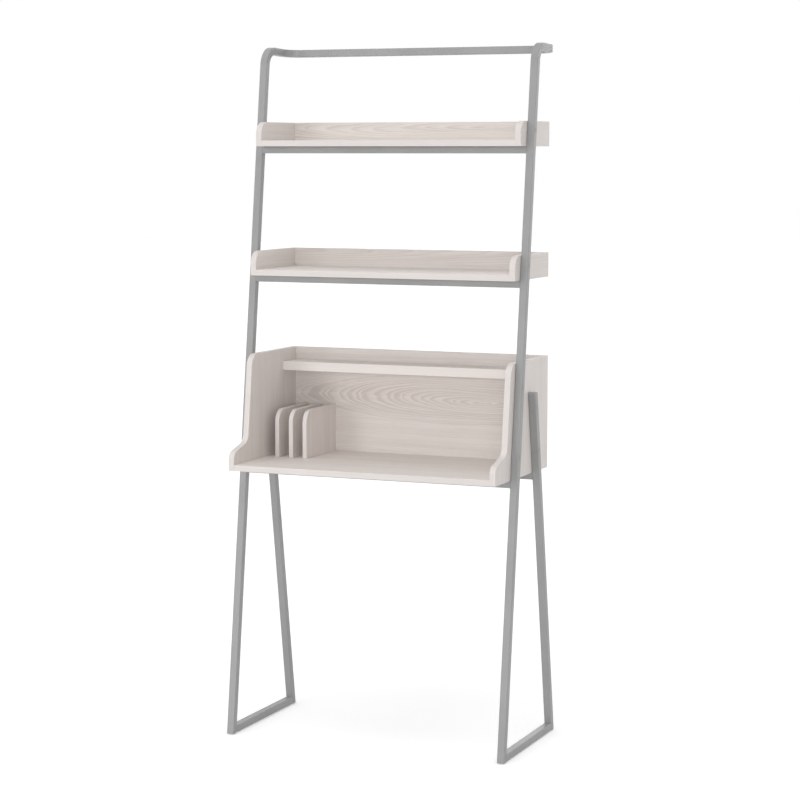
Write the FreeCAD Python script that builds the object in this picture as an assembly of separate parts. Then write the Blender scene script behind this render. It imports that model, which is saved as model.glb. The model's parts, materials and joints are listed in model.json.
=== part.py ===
import FreeCAD, Part
import math
import os

from FreeCAD import Vector

# Ladder desk: two leaning side frames of square steel tube carry two shelf trays and a desk box.
# Millimetres. X runs to the right, Y to the back and Z up, with the origin on the floor under the middle.
# "Ahead" is a distance forward from the back of the frame.

# Frame
overall_width = 800.0          # outside faces of the two side frames
base_depth = 394.0             # front of the uprights at the floor, ahead of the back
top_depth = 160.0              # front line of the uprights at the height of the rail, ahead of the back
tube = 20.0
bar_tube = 18.5                # cross bars
tube_wall = 1.2
tube_corner = 2.0
bend_radius = 45.0             # middle line of the tube, in all bends
rail_set_in = 0.3              # top rail, ahead of the back of the frame

# Heights, from the floor up
desk_height = 723.5            # underside of the desk board
hutch_height = 303.0           # sides of the desk box
lower_shelf_gap = 211.5        # top of the desk box to the underside of the lower shelf
upper_shelf_gap = 281.0        # top of the lower tray to the underside of the upper shelf
top_gap = 200.0                # top of the upper tray to the top of the rail behind
run_fall = 5.4                 # middle line of the top runs, from over an upright to the rail

# Rear legs
leg_top_drop = 85.5            # top of a rear leg, below the top of the desk box
leg_top_depth = 149.0          # back of a rear leg at its top, ahead of the back

# Boards
board = 16.0
divider_board = 12.0
edge_ease = 0.8                # small rounding on every edge of a board
corner_margin = 0.4            # lower and rear corners of a side, rounder than the easing by this
corner_round = 35.0            # upper front corners of sides and dividers
panel_set_in = 11.0            # wooden backs and sides, ahead of the back of the frame
panel_gap = 0.5                # between a wooden side and the tubes beside it

# Shelf trays
tray_side_height = 65.5
lower_shelf_overhang = 35.3    # front of the tray, ahead of the uprights at its underside
upper_shelf_overhang = 41.5

# Desk box
hutch_overhang = 32.0          # leaning front edge of the sides, ahead of the uprights
nose_depth = 85.4              # front of the desk, ahead of the inner corner of the S curve
nose_height = 47.5             # front end of the sides, below the S curve
nose_round = 25.0
step_rise = 23.0               # inner corner of the S curve, above the nose
step_round = 30.0
ledge_board = 25.0
ledge_depth = 80.0
ledge_drop = 34.0              # top of the ledge, below the top of the desk box

# Dividers
divider_count = 3
divider_slot = 29.3            # clear width of each slot
divider_depth = 193.0
divider_height = 131.0

# Bolts through the side frames, with their cover plugs
bolt_shank = 6.0
bolt_head = 10.0
bolt_head_height = 4.0
bolt_socket = 5.0              # across the flats
bolt_socket_depth = 2.5
bolt_inset = 60.0              # from the lower and upper edges of the desk box's sides
leg_bolt_inset = 40.0          # from the top of the rear leg
cover_lap = 1.0                # flange of a cover plug, round the access hole
cover_flange_height = 0.6
cover_plug_length = 3.0

# Screws through the cross bars
screw_shank = 4.0
screw_head = 8.0
screw_head_height = 3.0
screw_socket = 3.0
screw_socket_depth = 1.8
screw_inset = 133.0            # from the ends of a bar

# Dowels
dowel = 8.0
dowel_length = 30.0
dowel_inset = 40.0             # from the ends of a joint
ledge_dowel_inset = 20.0
divider_dowel = 6.0
divider_dowel_length = 16.0
dowel_chamfer = 0.8

# Plugs, caps and glides
connector_margin = 3.0         # plug's ends, short of the bends
cap_height = 2.0
cap_plug_length = 10.0
glide = 14.0
glide_height = 2.0
glide_stem = 5.0
glide_stem_length = 6.0
glide_inset = 45.0             # from the two ends of the base

# Clearances
hole_clearance = 0.2           # on the diameter of bolts, screws, dowels, plugs and stems
hole_slack = 0.5               # beyond the end of a bolt, screw or dowel
access_clearance = 2.0         # on the diameter of a head, in the hole that it goes in by
inside_clearance = 0.1         # between a plug and each wall of its tube
bolt_skin = 4.0                # wood left beyond the end of a bolt
screw_skin = 5.0               # wood left beyond the end of a screw
dowel_skin = 7.0               # wood left beyond the end of a dowel in a side
divider_dowel_skin = 9.0       # wood left under a divider's dowel in the desk board

# Heights worked out from the sizes
desk_surface = desk_height + board
hutch_top = desk_height + hutch_height
lower_shelf_height = hutch_top + lower_shelf_gap
upper_shelf_height = lower_shelf_height + tray_side_height + upper_shelf_gap
rail_top = upper_shelf_height + tray_side_height + top_gap
rail_middle = rail_top - tube / 2
leg_height = hutch_top - leg_top_drop
nose_top = desk_height + nose_height
step_height = nose_top + step_rise
ledge_top = hutch_top - ledge_drop
reach = 2 * rail_top           # longer than anything in the model

# Places across the width
half_width = overall_width / 2
frame_x = half_width - tube / 2
frame_inner = half_width - tube
side_outer = frame_inner - panel_gap
side_inner = side_outer - board
bolt_seat = frame_inner + tube_wall

# Lengths of fasteners in the wood
bolt_length = tube_wall + panel_gap + board - bolt_skin
screw_bite = board - screw_skin
dowel_bite = board - dowel_skin
divider_dowel_bite = board - divider_dowel_skin

# Lean of the frame, in radians
lean = math.atan((base_depth - top_depth) / rail_top)
leg_lean = math.atan(leg_top_depth / leg_height)

X_AXIS = Vector(1, 0, 0)
Y_AXIS = Vector(0, 1, 0)
Z_AXIS = Vector(0, 0, 1)
SIDES = ((-1, "left"), (1, "right"))


def upright_front(height):
    """Front of the uprights at a height, ahead of the back."""
    return base_depth - height * math.tan(lean)


def upright_middle(height):
    """Middle line of the uprights at a height, ahead of the back."""
    return upright_front(height) - tube / 2 / math.cos(lean)


def leg_middle(height):
    """Middle line of the rear legs at a height, ahead of the back."""
    return height * math.tan(leg_lean) + tube / 2 / math.cos(leg_lean)


# Places ahead of the back
back_face = panel_set_in + board
hutch_step = upright_front(step_height) + hutch_overhang
desk_front = hutch_step + nose_depth
lower_shelf_front = upright_front(lower_shelf_height) + lower_shelf_overhang
upper_shelf_front = upright_front(upper_shelf_height) + upper_shelf_overhang
ledge_front = back_face + ledge_depth
divider_front = back_face + divider_depth
rail_behind = rail_set_in + tube / 2
run_corner = upright_middle(rail_middle + run_fall)
run_slope = math.atan(run_fall / (run_corner - rail_behind))
run_start = run_corner - bend_radius * math.tan((math.pi / 2 - lean + run_slope) / 2)
run_end = rail_behind + bend_radius
splice = (run_start + run_end) / 2
glide_places = (glide_inset, base_depth - glide_inset)
back_y = max(desk_front, base_depth) / 2


def run_middle(ahead):
    """Middle line of the top runs, as a height."""
    return rail_middle + (ahead - rail_behind) * math.tan(run_slope)


def at(x, ahead, height):
    """Point at a distance ahead of the back."""
    return Vector(x, back_y - ahead, height)


def rounded_wire(points, radii, closed=True):
    """Straight runs through the points, with an arc of the given radius at each corner."""
    count = len(points)
    corners = []
    for i, corner in enumerate(points):
        if radii[i] == 0:
            corners.append((corner, corner, corner))
            continue
        towards = (points[i - 1] - corner).normalize()
        onwards = (points[(i + 1) % count] - corner).normalize()
        half_angle = towards.getAngle(onwards) / 2
        run = radii[i] / math.tan(half_angle)
        depth = radii[i] / math.sin(half_angle) - radii[i]
        middle = corner + (towards + onwards).normalize() * depth
        corners.append((corner + towards * run, middle, corner + onwards * run))
    edges = []
    for i, (entry, middle, leave) in enumerate(corners):
        if radii[i]:
            edges.append(Part.Arc(entry, middle, leave).toShape())
        if closed or i < count - 1:
            edges.append(Part.LineSegment(leave, corners[(i + 1) % count][0]).toShape())
    return Part.Wire(edges)


def square_wire(centre, across, along, size, corner):
    """Rounded square about a point, square to the direction along."""
    other = along.cross(across)
    half = size / 2
    turns = ((-1, -1), (1, -1), (1, 1), (-1, 1))
    points = [centre + across * (half * a) + other * (half * b) for a, b in turns]
    return rounded_wire(points, [corner] * len(points))


def bar_along(points, radii, across, size, corner):
    """Solid square bar along straight runs and bends."""
    along = (points[1] - points[0]).normalize()
    path = rounded_wire(points, radii, closed=False)
    section = square_wire(points[0], across, along, size, corner)
    return path.makePipeShell([section], True, False)


def tube_outside(points, radii, across, size=tube):
    """Outside of a tube, as a solid bar."""
    return bar_along(points, radii, across, size, tube_corner)


def tube_inside(points, radii, across, size=tube, clearance=0.0):
    """Room inside a tube, less a clearance at each wall."""
    room = size - 2 * tube_wall - 2 * clearance
    return bar_along(points, radii, across, room, max(tube_corner - tube_wall, 0))


def hollow_tube(points, radii, across, size=tube):
    """Square tube with open ends."""
    return tube_outside(points, radii, across, size).cut(tube_inside(points, radii, across, size))


def slice_between(low, high):
    """Large level slab between two heights."""
    return Part.makeBox(reach, reach, high - low, Vector(-reach / 2, -reach / 2, low))


def side_prism(outline, radii, x_low, x_high):
    """Upright slab with an outline of (ahead, height) points, between two planes across X."""
    points = [at(x_low, ahead, height) for ahead, height in outline]
    face = Part.Face(rounded_wire(points, radii))
    return face.extrude(X_AXIS * (x_high - x_low))


def side_panel(outline, rounds, x_low, x_high):
    """Side prism with eased rims, and the rounds given for some of its corners."""
    radii = [rounds.get(i, edge_ease + corner_margin) for i in range(len(outline))]
    solid = side_prism(outline, radii, x_low, x_high)
    rims = [edge for edge in solid.Edges if edge.BoundBox.XLength < edge_ease]
    return solid.makeFillet(edge_ease, rims)


def flat_board(ahead_low, ahead_high, z_low, z_high):
    """Plain board between the two sides, with eased edges."""
    size = (2 * side_inner, ahead_high - ahead_low, z_high - z_low)
    block = Part.makeBox(*size, at(-side_inner, ahead_high, z_low))
    return block.makeFillet(edge_ease, block.Edges)


def rod(start, direction, diameter, length):
    """Plain cylinder from a point along a direction."""
    return Part.makeCylinder(diameter / 2, length, start, direction)


def hole(start, direction, diameter, length):
    """Cutter for a rod of that diameter, with its clearance and slack."""
    return rod(start, direction, diameter + hole_clearance, length + hole_slack)


def circles(solid):
    """Round edges of a plain cylinder."""
    return [edge for edge in solid.Edges if edge.isClosed()]


def dowel_rod(start, direction, diameter, length):
    """Dowel with both ends chamfered."""
    solid = rod(start, direction, diameter, length)
    return solid.makeChamfer(dowel_chamfer, circles(solid))


def eased_disc(start, direction, diameter, height):
    """Disc whose rim is eased where it starts."""
    solid = rod(start, direction, diameter, height)
    rims = [edge for edge in circles(solid) if edge.CenterOfMass.distanceToPoint(start) < height / 2]
    return solid.makeFillet(edge_ease, rims)


def hexagon(start, direction, flats, length):
    """Six-sided bar from a point, along a direction square to Y."""
    sides = 6
    other = direction.cross(Y_AXIS)
    radius = flats / math.sqrt(3)
    turns = [2 * math.pi * i / sides for i in range(sides + 1)]
    points = [start + Y_AXIS * (radius * math.cos(a)) + other * (radius * math.sin(a)) for a in turns]
    return Part.Face(Part.makePolygon(points)).extrude(direction * length)


def socket_bolt(seat, direction, head, head_height, shank, length, socket, socket_depth):
    """Bolt whose head sits on a seat, with its shank going on along a direction."""
    top = seat - direction * head_height
    solid = eased_disc(top, direction, head, head_height)
    solid = solid.fuse(rod(seat, direction, shank, length)).removeSplitter()
    return solid.cut(hexagon(top, direction, socket, socket_depth))


# Side frames
def upright_points(side):
    """Middle line of an upright: below the floor, the top corner and the end of its top run."""
    x = side * frame_x
    below = -tube
    foot = at(x, upright_middle(below), below)
    return [foot] + [at(x, ahead, run_middle(ahead)) for ahead in (run_corner, splice)]


def leg_points(side):
    """Middle line of a rear leg, run on past both of its cut ends."""
    x = side * frame_x
    return [at(x, leg_middle(height), height) for height in (-tube, leg_height + tube)]


def make_upright(side):
    """Leaning upright, bent to the back at its top."""
    whole = hollow_tube(upright_points(side), [0, bend_radius, 0], X_AXIS)
    cut = whole.common(slice_between(glide_height, rail_top + tube))
    return cut.cut(bolt_holes(upright_bolt_places(), side))


def make_rear_leg(side):
    """Rear leg with a level cut at the floor and under its cap."""
    whole = hollow_tube(leg_points(side), [0, 0], X_AXIS)
    cut = whole.common(slice_between(glide_height, leg_height - cap_height))
    return cut.cut(bolt_holes(leg_bolt_places(), side))


def make_leg_cap(side):
    """Cap on the open top of a rear leg, with a plug inside the tube."""
    points = leg_points(side)
    under = leg_height - cap_height
    plate = tube_outside(points, [0, 0], X_AXIS).common(slice_between(under, leg_height))
    rim = [edge for edge in plate.Edges if edge.BoundBox.ZMin > leg_height - cap_height / 2]
    plate = plate.makeFillet(edge_ease, rim)
    plug = tube_inside(points, [0, 0], X_AXIS, clearance=inside_clearance)
    return plate.fuse(plug.common(slice_between(under - cap_plug_length, under))).removeSplitter()


def make_floor_rail(side):
    """Rail along the floor between the feet of an upright and a rear leg."""
    x = side * frame_x
    middle = glide_height + tube / 2
    whole = hollow_tube([at(x, base_depth, middle), at(x, 0, middle)], [0, 0], X_AXIS)
    low, high = 0.0, glide_height + 2 * tube
    upright_backs = [(upright_middle(z) - tube / 2 / math.cos(lean), z) for z in (low, high)]
    leg_fronts = [(leg_middle(z) + tube / 2 / math.cos(leg_lean), z) for z in (high, low)]
    between = side_prism(upright_backs + leg_fronts, [0, 0, 0, 0], x - tube, x + tube)
    stems = [hole(at(x, ahead, 0), Z_AXIS, glide_stem, glide_height + tube / 2) for ahead in glide_places]
    return whole.common(between).cut(stems)


def make_glide(side, ahead):
    """Low round glide with a stem in the underside of the floor rail."""
    foot = at(side * frame_x, ahead, 0)
    disc = eased_disc(foot, Z_AXIS, glide, glide_height)
    stem = rod(foot + Z_AXIS * glide_height, Z_AXIS, glide_stem, glide_stem_length)
    return disc.fuse(stem).removeSplitter()


def make_top_rail():
    """Rail across the back at the top, with a bend and a short run forward at each end."""
    places = ((-frame_x, splice), (-frame_x, rail_behind), (frame_x, rail_behind), (frame_x, splice))
    points = [at(x, ahead, run_middle(ahead)) for x, ahead in places]
    return hollow_tube(points, [0, bend_radius, bend_radius, 0], X_AXIS)


def make_rail_connector(side):
    """Plug inside the tubes where an upright meets the top rail."""
    ends = (run_start - connector_margin, run_end + connector_margin)
    points = [at(side * frame_x, ahead, run_middle(ahead)) for ahead in ends]
    return tube_inside(points, [0, 0], X_AXIS, clearance=inside_clearance)


# Cross bars and their screws
def screw_places():
    """Places across the width where a bar is screwed to its board."""
    return [side * (frame_inner - screw_inset) for side, word in SIDES]


def make_bar(ahead, top):
    """Level bar between the two side frames, under a board, with holes for its screws."""
    middle = top - bar_tube / 2
    ends = [at(side * frame_inner, ahead, middle) for side, word in SIDES]
    bar = hollow_tube(ends, [0, 0], Z_AXIS, bar_tube)
    cutters = []
    for x in screw_places():
        cutters.append(rod(at(x, ahead, middle), Z_AXIS * -1, screw_head + access_clearance, bar_tube))
        cutters.append(hole(at(x, ahead, middle), Z_AXIS, screw_shank, bar_tube))
    return bar.cut(cutters)


def make_bar_screws(ahead, top):
    """Screws from inside a bar up into the board above it."""
    seats = [at(x, ahead, top - tube_wall) for x in screw_places()]
    length = tube_wall + screw_bite
    sizes = (screw_head, screw_head_height, screw_shank, length, screw_socket, screw_socket_depth)
    return [socket_bolt(seat, Z_AXIS, *sizes) for seat in seats]


def screw_holes(ahead, top):
    """Holes in a board for the screws of the bar under it."""
    return [hole(at(x, ahead, top), Z_AXIS, screw_shank, screw_bite) for x in screw_places()]


def upright_bar(top):
    """Place of a bar between the uprights, with its top at a height."""
    return (upright_middle(top - bar_tube / 2), top)


def leg_bar(top):
    """Place of a bar between the rear legs, with its top at a height."""
    return (leg_middle(top - bar_tube / 2), top)


# Bolts through the side frames
def tray_bolt_place(height):
    """Where an upright is bolted to a tray: halfway up its side, above the board."""
    middle = height + (board + tray_side_height) / 2
    return (upright_middle(middle), middle)


def hutch_upright_places():
    """Where an upright is bolted to a side of the desk box."""
    heights = (desk_height + bolt_inset, hutch_top - bolt_inset)
    return [(upright_middle(height), height) for height in heights]


def upright_bolt_places():
    """All the bolts through an upright."""
    trays = [tray_bolt_place(height) for height in (lower_shelf_height, upper_shelf_height)]
    return trays + hutch_upright_places()


def leg_bolt_places():
    """Where a rear leg is bolted to a side of the desk box."""
    heights = (desk_height + bolt_inset, leg_height - leg_bolt_inset)
    return [(leg_middle(height), height) for height in heights]


def bolt_holes(places, side):
    """Cutters for the bolts at (ahead, height) places, in a tube and in the wooden side behind it."""
    out = X_AXIS * side
    cutters = []
    for ahead, height in places:
        seat = at(side * bolt_seat, ahead, height)
        cutters.append(rod(seat, out, bolt_head + access_clearance, tube))
        cutters.append(hole(seat, out * -1, bolt_shank, bolt_length))
    return cutters


def make_frame_bolts(places, side):
    """Bolts at (ahead, height) places, with their heads inside the tube."""
    seats = [at(side * bolt_seat, ahead, height) for ahead, height in places]
    sizes = (bolt_head, bolt_head_height, bolt_shank, bolt_length, bolt_socket, bolt_socket_depth)
    return [socket_bolt(seat, X_AXIS * -side, *sizes) for seat in seats]


def make_bolt_covers(places, side):
    """Plugs that close the access holes of the bolts."""
    out = X_AXIS * side
    access = bolt_head + access_clearance
    covers = []
    for ahead, height in places:
        face = at(side * half_width, ahead, height)
        flange = rod(face, out, access + 2 * cover_lap, cover_flange_height)
        plug = rod(face, out * -1, access - hole_clearance, cover_plug_length)
        covers.append(flange.fuse(plug).removeSplitter())
    return covers


# Dowel joints between boards and the two sides
def side_dowels(places):
    """Dowels across both side joints at (ahead, height) places, and the holes that they need."""
    dowels = []
    cutters = []
    for side, word in SIDES:
        inward = X_AXIS * -side
        for ahead, height in places:
            start = at(side * (side_inner + dowel_bite), ahead, height)
            dowels.append(dowel_rod(start, inward, dowel, dowel_length))
            cutters.append(hole(start - inward * hole_slack, inward, dowel, dowel_length + hole_slack))
    return dowels, cutters


def make_tray(name, front, height):
    """Shelf tray of a board, two sides and a back, with its dowels."""
    surface = height + board
    top = height + tray_side_height
    places = [(ahead, height + board / 2) for ahead in (back_face + dowel_inset, front - dowel_inset)]
    places.append((panel_set_in + board / 2, (height + top) / 2))
    dowels, cutters = side_dowels(places)

    shelf = flat_board(back_face, front, height, surface)
    back = flat_board(panel_set_in, back_face, height, top)
    pieces = {
        name + "_board": shelf.cut(cutters + screw_holes(*upright_bar(height))),
        name + "_back": back.cut(cutters),
        name + "_dowels": Part.Compound(dowels),
    }
    outline = [(panel_set_in, height), (front, height), (front, top), (panel_set_in, top)]
    for side, word in SIDES:
        x_low, x_high = sorted((side * side_inner, side * side_outer))
        panel = side_panel(outline, {2: corner_round}, x_low, x_high)
        holes = bolt_holes([tray_bolt_place(height)], side)
        pieces[name + "_" + word + "_side"] = panel.cut(cutters + holes)
    return pieces


# Desk box
def divider_middles():
    """Middles of the dividers across the width, counted from the left side."""
    pitch = divider_slot + divider_board
    return [-side_inner + pitch * (i + 1) - divider_board / 2 for i in range(divider_count)]


def divider_dowel_places():
    """Points on the desk surface where the dividers' dowels stand."""
    rows = (back_face + dowel_inset, divider_front - dowel_inset)
    return [at(x, ahead, desk_surface) for x in divider_middles() for ahead in rows]


def divider_dowel_holes():
    """Cutters for the dividers' dowels, in the desk board and the dividers."""
    length = divider_dowel_length + hole_slack
    below = Z_AXIS * (divider_dowel_bite + hole_slack)
    return [hole(place - below, Z_AXIS, divider_dowel, length) for place in divider_dowel_places()]


def make_hutch():
    """Desk board, two sides with an S curve and a leaning front edge, back, ledge and dowels."""
    desk_rows = (back_face + dowel_inset, (back_face + desk_front) / 2, desk_front - dowel_inset)
    back_rows = (desk_height + dowel_inset, hutch_top - dowel_inset)
    ledge_rows = (back_face + ledge_dowel_inset, ledge_front - ledge_dowel_inset)
    places = [(ahead, desk_height + board / 2) for ahead in desk_rows]
    places += [(panel_set_in + board / 2, height) for height in back_rows]
    places += [(ahead, ledge_top - ledge_board / 2) for ahead in ledge_rows]
    dowels, cutters = side_dowels(places)

    desk = flat_board(back_face, desk_front, desk_height, desk_surface)
    desk_holes = screw_holes(*upright_bar(desk_height)) + screw_holes(*leg_bar(desk_height))
    back = flat_board(panel_set_in, back_face, desk_height, hutch_top)
    ledge = flat_board(back_face, ledge_front, ledge_top - ledge_board, ledge_top)
    pieces = {
        "desk_board": desk.cut(cutters + desk_holes + divider_dowel_holes()),
        "hutch_back": back.cut(cutters),
        "hutch_ledge": ledge.cut(cutters),
        "desk_dowels": Part.Compound(dowels),
    }
    outline = [
        (panel_set_in, desk_height),
        (desk_front, desk_height),
        (desk_front, nose_top),
        (hutch_step, step_height),
        (upright_front(hutch_top) + hutch_overhang, hutch_top),
        (panel_set_in, hutch_top),
    ]
    rounds = {2: nose_round, 3: step_round, 4: corner_round}
    for side, word in SIDES:
        x_low, x_high = sorted((side * side_inner, side * side_outer))
        panel = side_panel(outline, rounds, x_low, x_high)
        holes = bolt_holes(hutch_upright_places() + leg_bolt_places(), side)
        pieces["hutch_" + word + "_side"] = panel.cut(cutters + holes)
    return pieces


def make_dividers():
    """Upright dividers at the left of the desk, with their dowels."""
    low, top = desk_surface, desk_surface + divider_height
    outline = [(back_face, low), (divider_front, low), (divider_front, top), (back_face, top)]
    words = ("left", "middle", "right")
    pieces = {}
    for i, x in enumerate(divider_middles()):
        word = words[i] if divider_count == len(words) else "divider_" + str(i + 1)
        panel = side_panel(outline, {2: corner_round}, x - divider_board / 2, x + divider_board / 2)
        pieces[word + "_divider"] = panel.cut(divider_dowel_holes())
    starts = [place - Z_AXIS * divider_dowel_bite for place in divider_dowel_places()]
    dowels = [dowel_rod(start, Z_AXIS, divider_dowel, divider_dowel_length) for start in starts]
    pieces["divider_dowels"] = Part.Compound(dowels)
    return pieces


def make_frames():
    """Both side frames, the top rail and everything that is bolted or pushed into them."""
    pieces = {"top_rail": make_top_rail()}
    names = ("frame_bolts", "bolt_covers", "leg_caps", "floor_glides", "rail_connectors")
    groups = {name: [] for name in names}
    places = upright_bolt_places() + leg_bolt_places()
    for side, word in SIDES:
        pieces[word + "_upright"] = make_upright(side)
        pieces[word + "_rear_leg"] = make_rear_leg(side)
        pieces[word + "_floor_rail"] = make_floor_rail(side)
        groups["frame_bolts"] += make_frame_bolts(places, side)
        groups["bolt_covers"] += make_bolt_covers(places, side)
        groups["leg_caps"].append(make_leg_cap(side))
        groups["floor_glides"] += [make_glide(side, ahead) for ahead in glide_places]
        groups["rail_connectors"].append(make_rail_connector(side))
    for name, solids in groups.items():
        pieces[name] = Part.Compound(solids)
    return pieces


def make_bars():
    """Cross bars under the shelves and the desk, with their screws."""
    bars = {
        "upper_shelf_bar": upright_bar(upper_shelf_height),
        "lower_shelf_bar": upright_bar(lower_shelf_height),
        "desk_front_bar": upright_bar(desk_height),
        "desk_rear_bar": leg_bar(desk_height),
    }
    pieces = {name: make_bar(*place) for name, place in bars.items()}
    screws = [screw for place in bars.values() for screw in make_bar_screws(*place)]
    pieces["bar_screws"] = Part.Compound(screws)
    return pieces


def make_desk():
    """Every piece of the ladder desk, by name."""
    pieces = make_frames()
    pieces.update(make_bars())
    pieces.update(make_tray("upper_shelf", upper_shelf_front, upper_shelf_height))
    pieces.update(make_tray("lower_shelf", lower_shelf_front, lower_shelf_height))
    pieces.update(make_hutch())
    pieces.update(make_dividers())
    return pieces


os.makedirs("parts", exist_ok=True)
for node, shape in make_desk().items():
    shape.exportStep("parts/" + node + ".step")
    state = "valid" if shape.isValid() else "not valid"
    print(node, len(shape.Solids), "solids", round(shape.Volume), "mm3", state)
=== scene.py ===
import bpy
import json
import math
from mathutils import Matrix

# Ladder desk on a pale floor. Metres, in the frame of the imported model.
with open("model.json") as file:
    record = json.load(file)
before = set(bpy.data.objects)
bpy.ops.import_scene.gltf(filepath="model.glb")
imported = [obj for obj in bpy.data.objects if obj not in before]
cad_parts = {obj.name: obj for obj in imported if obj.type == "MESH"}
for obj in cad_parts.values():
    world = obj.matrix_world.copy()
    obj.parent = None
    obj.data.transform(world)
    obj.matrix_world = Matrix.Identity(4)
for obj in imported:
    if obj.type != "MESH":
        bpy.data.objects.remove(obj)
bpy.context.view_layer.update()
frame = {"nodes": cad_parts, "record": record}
nodes = frame["nodes"]

# Colours, linear
WOOD_PALE = (0.815, 0.767, 0.737)
WOOD_DEEP = (0.640, 0.581, 0.546)
WOOD_PORE = (0.54, 0.475, 0.43)
WOOD_WASH = (0.87, 0.84, 0.815)
BAND = ((0.742, 0.696, 0.674), (0.660, 0.612, 0.586))
# Paler edge colours for the ledge: painted light that brightens its recessed, shaded front
LEDGE_BAND_LIT = ((0.850, 0.795, 0.765), (0.790, 0.735, 0.705))
PAINT = (0.322, 0.322, 0.322)
# Pale grey of worn paint, which on the tube edges also serves as a painted highlight
PAINT_WORN = (0.50, 0.50, 0.50)
PAINT_DARK = (0.282, 0.282, 0.284)
STEEL = (0.62, 0.62, 0.61)
STEEL_DULL = (0.44, 0.44, 0.43)
BEECH = (0.66, 0.50, 0.34)
BEECH_DEEP = (0.48, 0.33, 0.20)
PLASTIC = (0.30, 0.30, 0.30)
PLASTIC_PALE = (0.36, 0.36, 0.362)
FLOOR_COLOUR = (0.85, 0.85, 0.85, 1)
WHITE = (1, 1, 1, 1)

# Growth rings: their spacing, the distance over which they fade and the strength that is left there
RING = 0.0034
RING_FADE = 0.045
RING_LEFT = 0.25
# Sway of the rings across the face and into it, and shifts of a ring by its year and by its ragged line
SWAY_ACROSS = 0.044
SWAY_INTO = 0.036
YEAR_SCALE = 130.0
YEAR_SHIFT = 2.4
RAGGED_SHIFT = 0.80
# Darkness through one ring, as (position, level)
RING_PROFILE = ((0.0, 0.0), (0.35, 0.18), (0.80, 1.0), (1.0, 0.0))

# Layers of grain: scale along it and across it, detail and roughness of the noise
SWAY_GRAIN = (1.8, 8.0, 2.5, 0.55)
RAGGED_GRAIN = (9.0, 90.0, 3.0, 0.6)
STREAK_GRAIN = (1.6, 95.0, 3.0, 0.6)
FIBRE_GRAIN = (5.0, 430.0, 4.0, 0.62)
FLECK_GRAIN = (34.0, 1500.0, 1.0, 0.5)
TONE_GRAIN = (1.1, 5.0, 2.0, 0.5)
WASH_GRAIN = (2.6, 30.0, 3.0, 0.6)
BEECH_FIBRE_GRAIN = (60.0, 700.0, 4.0, 0.6)
BEECH_FLECK_GRAIN = (300.0, 1800.0, 1.0, 0.5)

# Shares of the layers in the colour of a board's face and of its edge bands
TONE_SHARE = 0.14
STREAK_SHARE = 0.22
FIBRE_SHARE = 0.22
PORE_SHARE = 0.26
WASH_SHARE = 0.16
BAND_FIBRE_SHARE = 0.45
BAND_PORE_SHARE = 0.10
BAND_EDGE_HIGHLIGHT_SHARE = 0.30
# How far a face may turn from the board's own before it is an edge band, as cosines
BAND_TURN = (0.80, 0.55)

# Radius within which an edge counts as near, for each finish
WOOD_EDGE = 0.0022
PAINT_EDGE = 0.0024
PLASTIC_EDGE = 0.0008
# Rays that look for an edge, and the cosine of the turn at which it counts fully
EDGE_SAMPLES = 6
EDGE_TURN = 0.80

# Steps that move each board to its own part of the noise
SEED_STEPS = (3.7, 1.9, 2.3)

# Sockets of a Mix node that mixes colours
MIX_SHARE, MIX_FIRST, MIX_SECOND, MIX_RESULT = 0, 6, 7, 2


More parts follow.
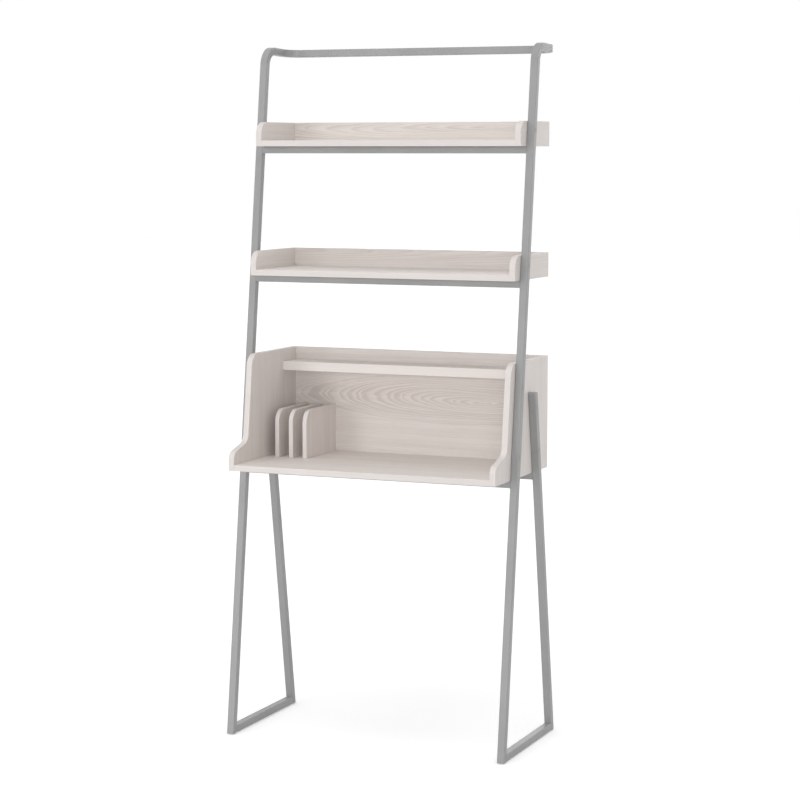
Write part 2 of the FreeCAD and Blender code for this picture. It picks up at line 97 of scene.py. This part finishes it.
class Graph:
    """A new material and the nodes of its tree."""

    def __init__(self, name):
        self.material = bpy.data.materials.new(name)
        self.material.use_nodes = True
        self.tree = self.material.node_tree
        self.shader = self.tree.nodes["Principled BSDF"]

    def plug(self, node, key, value):
        """Sets a socket, or links another node's output to it."""
        if isinstance(value, bpy.types.NodeSocket):
            self.tree.links.new(value, node.inputs[key])
        else:
            node.inputs[key].default_value = value

    def shade(self, **sockets):
        """Fills sockets of the shader, named with _ for a space."""
        for key, value in sockets.items():
            self.plug(self.shader, key.replace("_", " "), value)

    def node(self, kind, settings=None, sockets=None):
        """A node with its settings and its sockets filled."""
        made = self.tree.nodes.new("ShaderNode" + kind)
        for key, value in (settings or {}).items():
            setattr(made, key, value)
        for key, value in (sockets or {}).items():
            self.plug(made, key, value)
        return made

    def place(self):
        """Coordinates of the object."""
        return self.node("TexCoord").outputs["Object"]

    def calc(self, operation, *values):
        """Result of a Math node."""
        sockets = dict(enumerate(values))
        return self.node("Math", {"operation": operation}, sockets).outputs[0]

    def scaled(self, value, factor, added):
        """Value times a factor, and a number or another value added."""
        return self.calc("MULTIPLY_ADD", value, factor, added)

    def stretch(self, place, scale, offset=(0, 0, 0)):
        """Coordinates scaled along each axis, then moved."""
        sockets = {"Vector": place, "Scale": scale, "Location": offset}
        return self.node("Mapping", {}, sockets).outputs[0]

    def noise(self, place, scale, detail, roughness, output="Fac"):
        """Noise over coordinates."""
        sockets = {"Vector": place, "Scale": scale, "Detail": detail, "Roughness": roughness}
        return self.node("TexNoise", {}, sockets).outputs[output]

    def grain(self, place, along, across, detail, roughness, output="Fac"):
        """Noise drawn out along the first axis."""
        return self.noise(self.stretch(place, (along, across, across)), 1.0, detail, roughness, output)

    def spread(self, value, low, high, to_low=0.0, to_high=1.0):
        """Value between two limits, spread smoothly over another range."""
        sockets = {"Value": value, "From Min": low, "From Max": high, "To Min": to_low, "To Max": to_high}
        return self.node("MapRange", {"interpolation_type": "SMOOTHSTEP"}, sockets).outputs[0]

    def ramp(self, value, stops):
        """Grey ramp through (position, level) stops."""
        made = self.node("ValToRGB", {}, {"Fac": value})
        points = made.color_ramp.elements
        while len(points) < len(stops):
            points.new(0.5)
        for point, (position, level) in zip(points, stops):
            point.position = position
            point.color = (level, level, level, 1)
        made.color_ramp.interpolation = "EASE"
        return made.outputs[0]

    def mix(self, share, first, second):
        """Colour between two colours."""
        made = self.node("Mix", {"data_type": "RGBA"}, {MIX_SHARE: share})
        for key, value in ((MIX_FIRST, first), (MIX_SECOND, second)):
            self.plug(made, key, value if isinstance(value, bpy.types.NodeSocket) else (*value, 1))
        return made.outputs[MIX_RESULT]

    def edges(self, radius):
        """Nearness to an edge, from 0 on a flat face to 1."""
        bent = self.node("Bevel", {"samples": EDGE_SAMPLES}, {"Radius": radius}).outputs[0]
        normal = self.node("NewGeometry").outputs["Normal"]
        alike = self.node("VectorMath", {"operation": "DOT_PRODUCT"}, {0: bent, 1: normal})
        return self.spread(alike.outputs["Value"], 1.0, EDGE_TURN)

    def bump(self, height, strength, distance):
        """Relief on the shader's normal."""
        sockets = {"Height": height, "Strength": strength, "Distance": distance}
        self.plug(self.shader, "Normal", self.node("Bump", {}, sockets).outputs[0])


def wood(name, along, across, heart, trunk, slope, figure, seed, band_colours=BAND):
    """Pale washed board cut from a trunk, with plain bands on its edges.

    The growth rings lie round a line that runs nearly along the grain. along and across name the axes of
    the face; heart is where the line crosses the face, trunk its depth behind the face, slope its rise
    along the grain and figure the strength of the rings. band_colours are the pale and deep of the edges.
    """
    graph = Graph(name)
    coordinates = graph.node("TexCoord").outputs
    parts = graph.node("SeparateXYZ", {}, {0: coordinates["Object"]}).outputs
    through = ({"X", "Y", "Z"} - {along, across}).pop()
    turned = {"X": parts[along], "Y": parts[across], "Z": parts[through]}
    turned = graph.node("CombineXYZ", {}, turned).outputs[0]
    board = graph.stretch(turned, (1, 1, 1), tuple(seed * step for step in SEED_STEPS))

    # Growth rings. The noise that sways them is 0.5 on average, so half the sway is taken off again.
    sway = graph.grain(board, *SWAY_GRAIN, "Color")
    swayed = {0: sway, 1: (0.0, SWAY_ACROSS, SWAY_INTO), 2: turned}
    bent = graph.node("VectorMath", {"operation": "MULTIPLY_ADD"}, swayed).outputs[0]
    bent = graph.node("SeparateXYZ", {}, {0: bent}).outputs
    depth = graph.scaled(bent["X"], slope, trunk - SWAY_INTO / 2)
    offset = graph.calc("SUBTRACT", bent["Y"], heart + SWAY_ACROSS / 2)
    radius = graph.node("CombineXYZ", {}, {"Y": offset, "Z": depth}).outputs[0]
    radius = graph.node("VectorMath", {"operation": "LENGTH"}, {0: radius}).outputs["Value"]
    ragged = graph.grain(board, *RAGGED_GRAIN)
    years = graph.node("TexNoise", {"noise_dimensions": "1D"}, {"W": radius, "Scale": YEAR_SCALE})
    rings = graph.scaled(years.outputs["Fac"], YEAR_SHIFT, graph.calc("DIVIDE", radius, RING))
    rings = graph.scaled(ragged, RAGGED_SHIFT, rings)
    late = graph.ramp(graph.calc("FRACT", rings), RING_PROFILE)
    near = graph.spread(radius, trunk, trunk + RING_FADE, 1.0, RING_LEFT)
    late = graph.calc("MULTIPLY", late, near)

    # Streaks, fibres, pores and the wash that lies over them
    streaks = graph.grain(board, *STREAK_GRAIN)
    fibres = graph.grain(board, *FIBRE_GRAIN)
    pores = graph.spread(graph.grain(board, *FLECK_GRAIN), 0.60, 0.72)
    tone = graph.grain(board, *TONE_GRAIN)
    wash = graph.spread(graph.grain(board, *WASH_GRAIN), 0.42, 0.70)

    share = graph.scaled(late, figure, graph.spread(tone, 0.25, 0.75, to_high=TONE_SHARE))
    share = graph.scaled(graph.spread(streaks, 0.32, 0.68), STREAK_SHARE, share)
    share = graph.scaled(graph.spread(fibres, 0.30, 0.70), FIBRE_SHARE, share)
    face = graph.mix(share, WOOD_PALE, WOOD_DEEP)
    face = graph.mix(graph.calc("MULTIPLY", pores, PORE_SHARE), face, WOOD_PORE)
    face = graph.mix(graph.calc("MULTIPLY", wash, WASH_SHARE), face, WOOD_WASH)

    # Edge bands, with only fine straight fibres
    facing = graph.node("SeparateXYZ", {}, {0: coordinates["Normal"]}).outputs[through]
    band = graph.spread(graph.calc("ABSOLUTE", facing), *BAND_TURN)
    rim = graph.mix(graph.spread(fibres, 0.28, 0.72, to_high=BAND_FIBRE_SHARE), *band_colours)
    rim = graph.mix(graph.calc("MULTIPLY", pores, BAND_PORE_SHARE), rim, WOOD_PORE)
    # Paler line along the eased edges: a painted highlight
    rim = graph.mix(graph.calc("MULTIPLY", graph.edges(WOOD_EDGE), BAND_EDGE_HIGHLIGHT_SHARE), rim, WOOD_WASH)

    rough = graph.scaled(pores, 0.10, graph.scaled(fibres, 0.16, 0.44))
    graph.shade(Base_Color=graph.mix(band, face, rim), Roughness=rough, Specular_IOR_Level=0.35)
    relief = graph.scaled(pores, -0.7, graph.calc("MULTIPLY", fibres, 0.5))
    graph.bump(graph.scaled(late, 0.25, relief), strength=0.35, distance=0.0004)
    return graph.material


def paint(name):
    """Satin powder coat with a fine orange-peel surface, thin on the edges, where the paler colour is
    partly wear and partly a painted highlight along the tube corners.
    """
    graph = Graph(name)
    place = graph.place()
    peel = graph.noise(place, scale=520.0, detail=2.0, roughness=0.45)
    specks = graph.noise(place, scale=1500.0, detail=1.0, roughness=0.5)
    cloud = graph.noise(place, scale=7.0, detail=3.0, roughness=0.55)
    patches = graph.spread(graph.noise(place, scale=38.0, detail=3.0, roughness=0.6), 0.34, 0.62)
    # Paler tube edges: worn paint and a painted highlight along the corners
    worn_and_highlit_edges = graph.calc("MULTIPLY", graph.edges(PAINT_EDGE), patches)
    colour = graph.mix(graph.spread(cloud, 0.30, 0.72, to_high=0.55), PAINT, PAINT_DARK)
    colour = graph.mix(graph.spread(specks, 0.60, 0.75, to_high=0.20), colour, PAINT_WORN)
    colour = graph.mix(graph.calc("MULTIPLY", worn_and_highlit_edges, 0.70), colour, PAINT_WORN)
    rough = graph.scaled(specks, 0.08, graph.scaled(cloud, 0.16, 0.26))
    graph.shade(Base_Color=colour, Roughness=rough, Specular_IOR_Level=0.45)
    graph.bump(graph.scaled(specks, 0.25, peel), strength=0.45, distance=0.0004)
    return graph.material


def steel(name):
    """Zinc-plated steel with fine turning marks and dull patches."""
    graph = Graph(name)
    place = graph.place()
    marks = graph.noise(graph.stretch(place, (2600.0, 260.0, 2600.0)), scale=1.0, detail=3.0, roughness=0.6)
    patches = graph.noise(place, scale=160.0, detail=3.0, roughness=0.6)
    colour = graph.mix(graph.spread(patches, 0.36, 0.66), STEEL, STEEL_DULL)
    graph.shade(Base_Color=colour, Metallic=1.0, Roughness=graph.scaled(marks, 0.30, 0.22))
    graph.bump(marks, strength=0.20, distance=0.0001)
    return graph.material


def beech(name):
    """Bare turned beech with short flecks."""
    graph = Graph(name)
    place = graph.place()
    fibres = graph.grain(place, *BEECH_FIBRE_GRAIN)
    flecks = graph.spread(graph.grain(place, *BEECH_FLECK_GRAIN), 0.58, 0.70)
    colour = graph.mix(graph.spread(fibres, 0.30, 0.72, to_high=0.7), BEECH, BEECH_DEEP)
    colour = graph.mix(graph.calc("MULTIPLY", flecks, 0.5), colour, BEECH_DEEP)
    graph.shade(Base_Color=colour, Roughness=graph.scaled(fibres, 0.20, 0.55))
    graph.bump(fibres, strength=0.30, distance=0.0002)
    return graph.material


def plastic(name):
    """Matt moulded plastic with a fine spark-eroded grain, paler on the edges."""
    graph = Graph(name)
    place = graph.place()
    grain = graph.noise(place, scale=1900.0, detail=2.0, roughness=0.55)
    cloud = graph.noise(place, scale=45.0, detail=2.0, roughness=0.5)
    colour = graph.mix(graph.spread(cloud, 0.30, 0.70), PLASTIC, PLASTIC_PALE)
    colour = graph.mix(graph.calc("MULTIPLY", graph.edges(PLASTIC_EDGE), 0.45), colour, PAINT_WORN)
    graph.shade(Base_Color=colour, Roughness=graph.scaled(grain, 0.24, 0.48))
    graph.bump(grain, strength=0.30, distance=0.0002)
    return graph.material


def dress(node, material):
    """Gives a node one material."""
    nodes[node].data.materials.clear()
    nodes[node].data.materials.append(material)


# Wood: node, axis of the grain, axis across the face, heart across the face, depth of the trunk, slope,
# strength of the rings, seed, and colours of the edges where they differ. The ledge's paler edge colours
# are painted light on its recessed, shaded front.
boards = (
    ("hutch_back", "X", "Z", 0.893, 0.042, -0.12, 0.95, 1),
    ("hutch_ledge", "X", "Y", 0.090, 0.060, 0.06, 0.20, 2, LEDGE_BAND_LIT),
    ("desk_board", "X", "Y", -0.030, 0.090, 0.09, 0.20, 3),
    ("lower_shelf_board", "X", "Y", 0.020, 0.075, -0.08, 0.20, 4),
    ("lower_shelf_back", "X", "Z", 1.300, 0.040, 0.03, 0.40, 5),
    ("upper_shelf_board", "X", "Y", 0.060, 0.080, 0.08, 0.20, 6),
    ("upper_shelf_back", "X", "Z", 1.632, 0.030, -0.05, 0.60, 7),
    ("hutch_left_side", "Z", "Y", -0.260, 0.075, 0.05, 0.16, 8),
    ("hutch_right_side", "Z", "Y", 0.310, 0.080, -0.05, 0.16, 9),
    ("lower_shelf_left_side", "Y", "Z", 1.110, 0.060, 0.05, 0.14, 10),
    ("lower_shelf_right_side", "Y", "Z", 1.420, 0.065, -0.05, 0.14, 11),
    ("upper_shelf_left_side", "Y", "Z", 1.450, 0.060, -0.05, 0.14, 12),
    ("upper_shelf_right_side", "Y", "Z", 1.770, 0.065, 0.05, 0.14, 13),
    ("left_divider", "Z", "Y", 0.310, 0.060, 0.06, 0.16, 14),
    ("middle_divider", "Z", "Y", -0.130, 0.070, -0.06, 0.16, 15),
    ("right_divider", "Z", "Y", 0.290, 0.065, 0.06, 0.16, 16),
)
for board_node, *cut in boards:
    dress(board_node, wood("wood_" + board_node, *cut))

# The other finishes, by the material slots of the record
finishes = {
    "frame_paint": paint("frame_paint_coat"),
    "dowel_wood": beech("dowel_beech"),
    "fastener_steel": steel("fastener_zinc"),
    "grey_plastic": plastic("grey_plastic_matt"),
}
for entry in frame["record"]["subparts"]:
    if entry["material_slot"] in finishes:
        dress(entry["node"], finishes[entry["material_slot"]])


def add_object(name, data):
    """A new object in the scene."""
    made = bpy.data.objects.new(name, data)
    bpy.context.scene.collection.objects.link(made)
    return made


def seen_directly(tree):
    """1 for rays from the camera, and for those that reach it by way of a gloss or glass."""
    path = tree.nodes.new("ShaderNodeLightPath")
    total = path.outputs["Is Camera Ray"]
    for name in ("Is Glossy Ray", "Is Transmission Ray"):
        added = tree.nodes.new("ShaderNodeMath")
        added.operation = "MAXIMUM"
        tree.links.new(total, added.inputs[0])
        tree.links.new(path.outputs[name], added.inputs[1])
        total = added.outputs[0]
    return total


# Floor, lifted to white where it is seen, which keeps the object's shadow
FLOOR_HALF = 30.0
FLOOR_DROP = 0.0004
FLOOR_ROUGHNESS = 0.9
FLOOR_LIFT = 0.34
corners = [(-FLOOR_HALF, -FLOOR_HALF, 0), (FLOOR_HALF, -FLOOR_HALF, 0),
           (FLOOR_HALF, FLOOR_HALF, 0), (-FLOOR_HALF, FLOOR_HALF, 0)]
floor_mesh = bpy.data.meshes.new("floor")
floor_mesh.from_pydata(corners, [], [(0, 1, 2, 3)])
floor = add_object("floor", floor_mesh)
floor.location.z = -FLOOR_DROP
pale = Graph("floor_pale")
pale.shade(Base_Color=FLOOR_COLOUR, Roughness=FLOOR_ROUGHNESS, Specular_IOR_Level=0.0)
lift = pale.calc("MULTIPLY", seen_directly(pale.tree), FLOOR_LIFT)
pale.shade(Emission_Color=WHITE, Emission_Strength=lift)
floor_mesh.materials.append(pale.material)

# World: even soft light, white where it is seen
WORLD_LEVEL = 0.53
world = bpy.data.worlds.new("studio")
bpy.context.scene.world = world
world.use_nodes = True
tree = world.node_tree
soft = tree.nodes["Background"]
white = tree.nodes.new("ShaderNodeBackground")
for background, level in ((soft, WORLD_LEVEL), (white, 1.0)):
    background.inputs["Color"].default_value = WHITE
    background.inputs["Strength"].default_value = level
blend = tree.nodes.new("ShaderNodeMixShader")
tree.links.new(seen_directly(tree), blend.inputs[0])
tree.links.new(soft.outputs[0], blend.inputs[1])
tree.links.new(white.outputs[0], blend.inputs[2])
tree.links.new(blend.outputs[0], tree.nodes["World Output"].inputs[0])


def lamp(name, azimuth, elevation, level, spread):
    """Wide distant lamp, in degrees.

    Azimuth 0 shines on the front and 90 on the right, and level 1 lights a surface fully.
    """
    light = bpy.data.lights.new(name, "SUN")
    light.energy = level * math.pi
    light.angle = math.radians(spread)
    made = add_object(name, light)
    made.rotation_euler = (math.radians(90 - elevation), 0, math.radians(azimuth))


def panel(name, azimuth, distance, height, size, level):
    """Round soft lamp that faces the object. Level 1 lights a surface fully at its distance."""
    light = bpy.data.lights.new(name, "AREA")
    light.shape = "DISK"
    light.size = size
    light.energy = level * math.pi ** 2 * distance ** 2
    made = add_object(name, light)
    turn = math.radians(azimuth)
    made.location = (distance * math.sin(turn), -distance * math.cos(turn), height)
    made.rotation_euler = (math.pi / 2, 0, turn)


lamp("key", azimuth=-21, elevation=8, level=0.10, spread=18)
lamp("front", azimuth=18, elevation=2, level=0.24, spread=20)
lamp("above", azimuth=0, elevation=74, level=0.31, spread=60)
lamp("rear", azimuth=180, elevation=12, level=0.20, spread=40)
panel("left", azimuth=-26, distance=2.4, height=0.5, size=0.9, level=0.06)
panel("right", azimuth=100, distance=2.2, height=1.8, size=1.2, level=0.03)

# Camera at the photograph's viewing angle. Angles in degrees, sensor and lens in millimetres.
CAMERA_PLACE = (2.403, -5.61714, 1.57488)
CAMERA_AZIMUTH = 22.9003
CAMERA_ELEVATION = 5.8221
CAMERA_SENSOR = 36.0
CAMERA_LENS = 103.281
CAMERA_SHIFT = -0.02
CAMERA_REACH = 200.0
camera_data = bpy.data.cameras.new("camera")
camera_data.sensor_width = CAMERA_SENSOR
camera_data.lens = CAMERA_LENS
camera_data.shift_y = CAMERA_SHIFT
camera_data.clip_end = CAMERA_REACH
camera = add_object("camera", camera_data)
camera.location = CAMERA_PLACE
camera.rotation_euler = (math.radians(90 - CAMERA_ELEVATION), 0, math.radians(CAMERA_AZIMUTH))
bpy.context.scene.camera = camera
bpy.context.scene.view_settings.view_transform = "Standard"
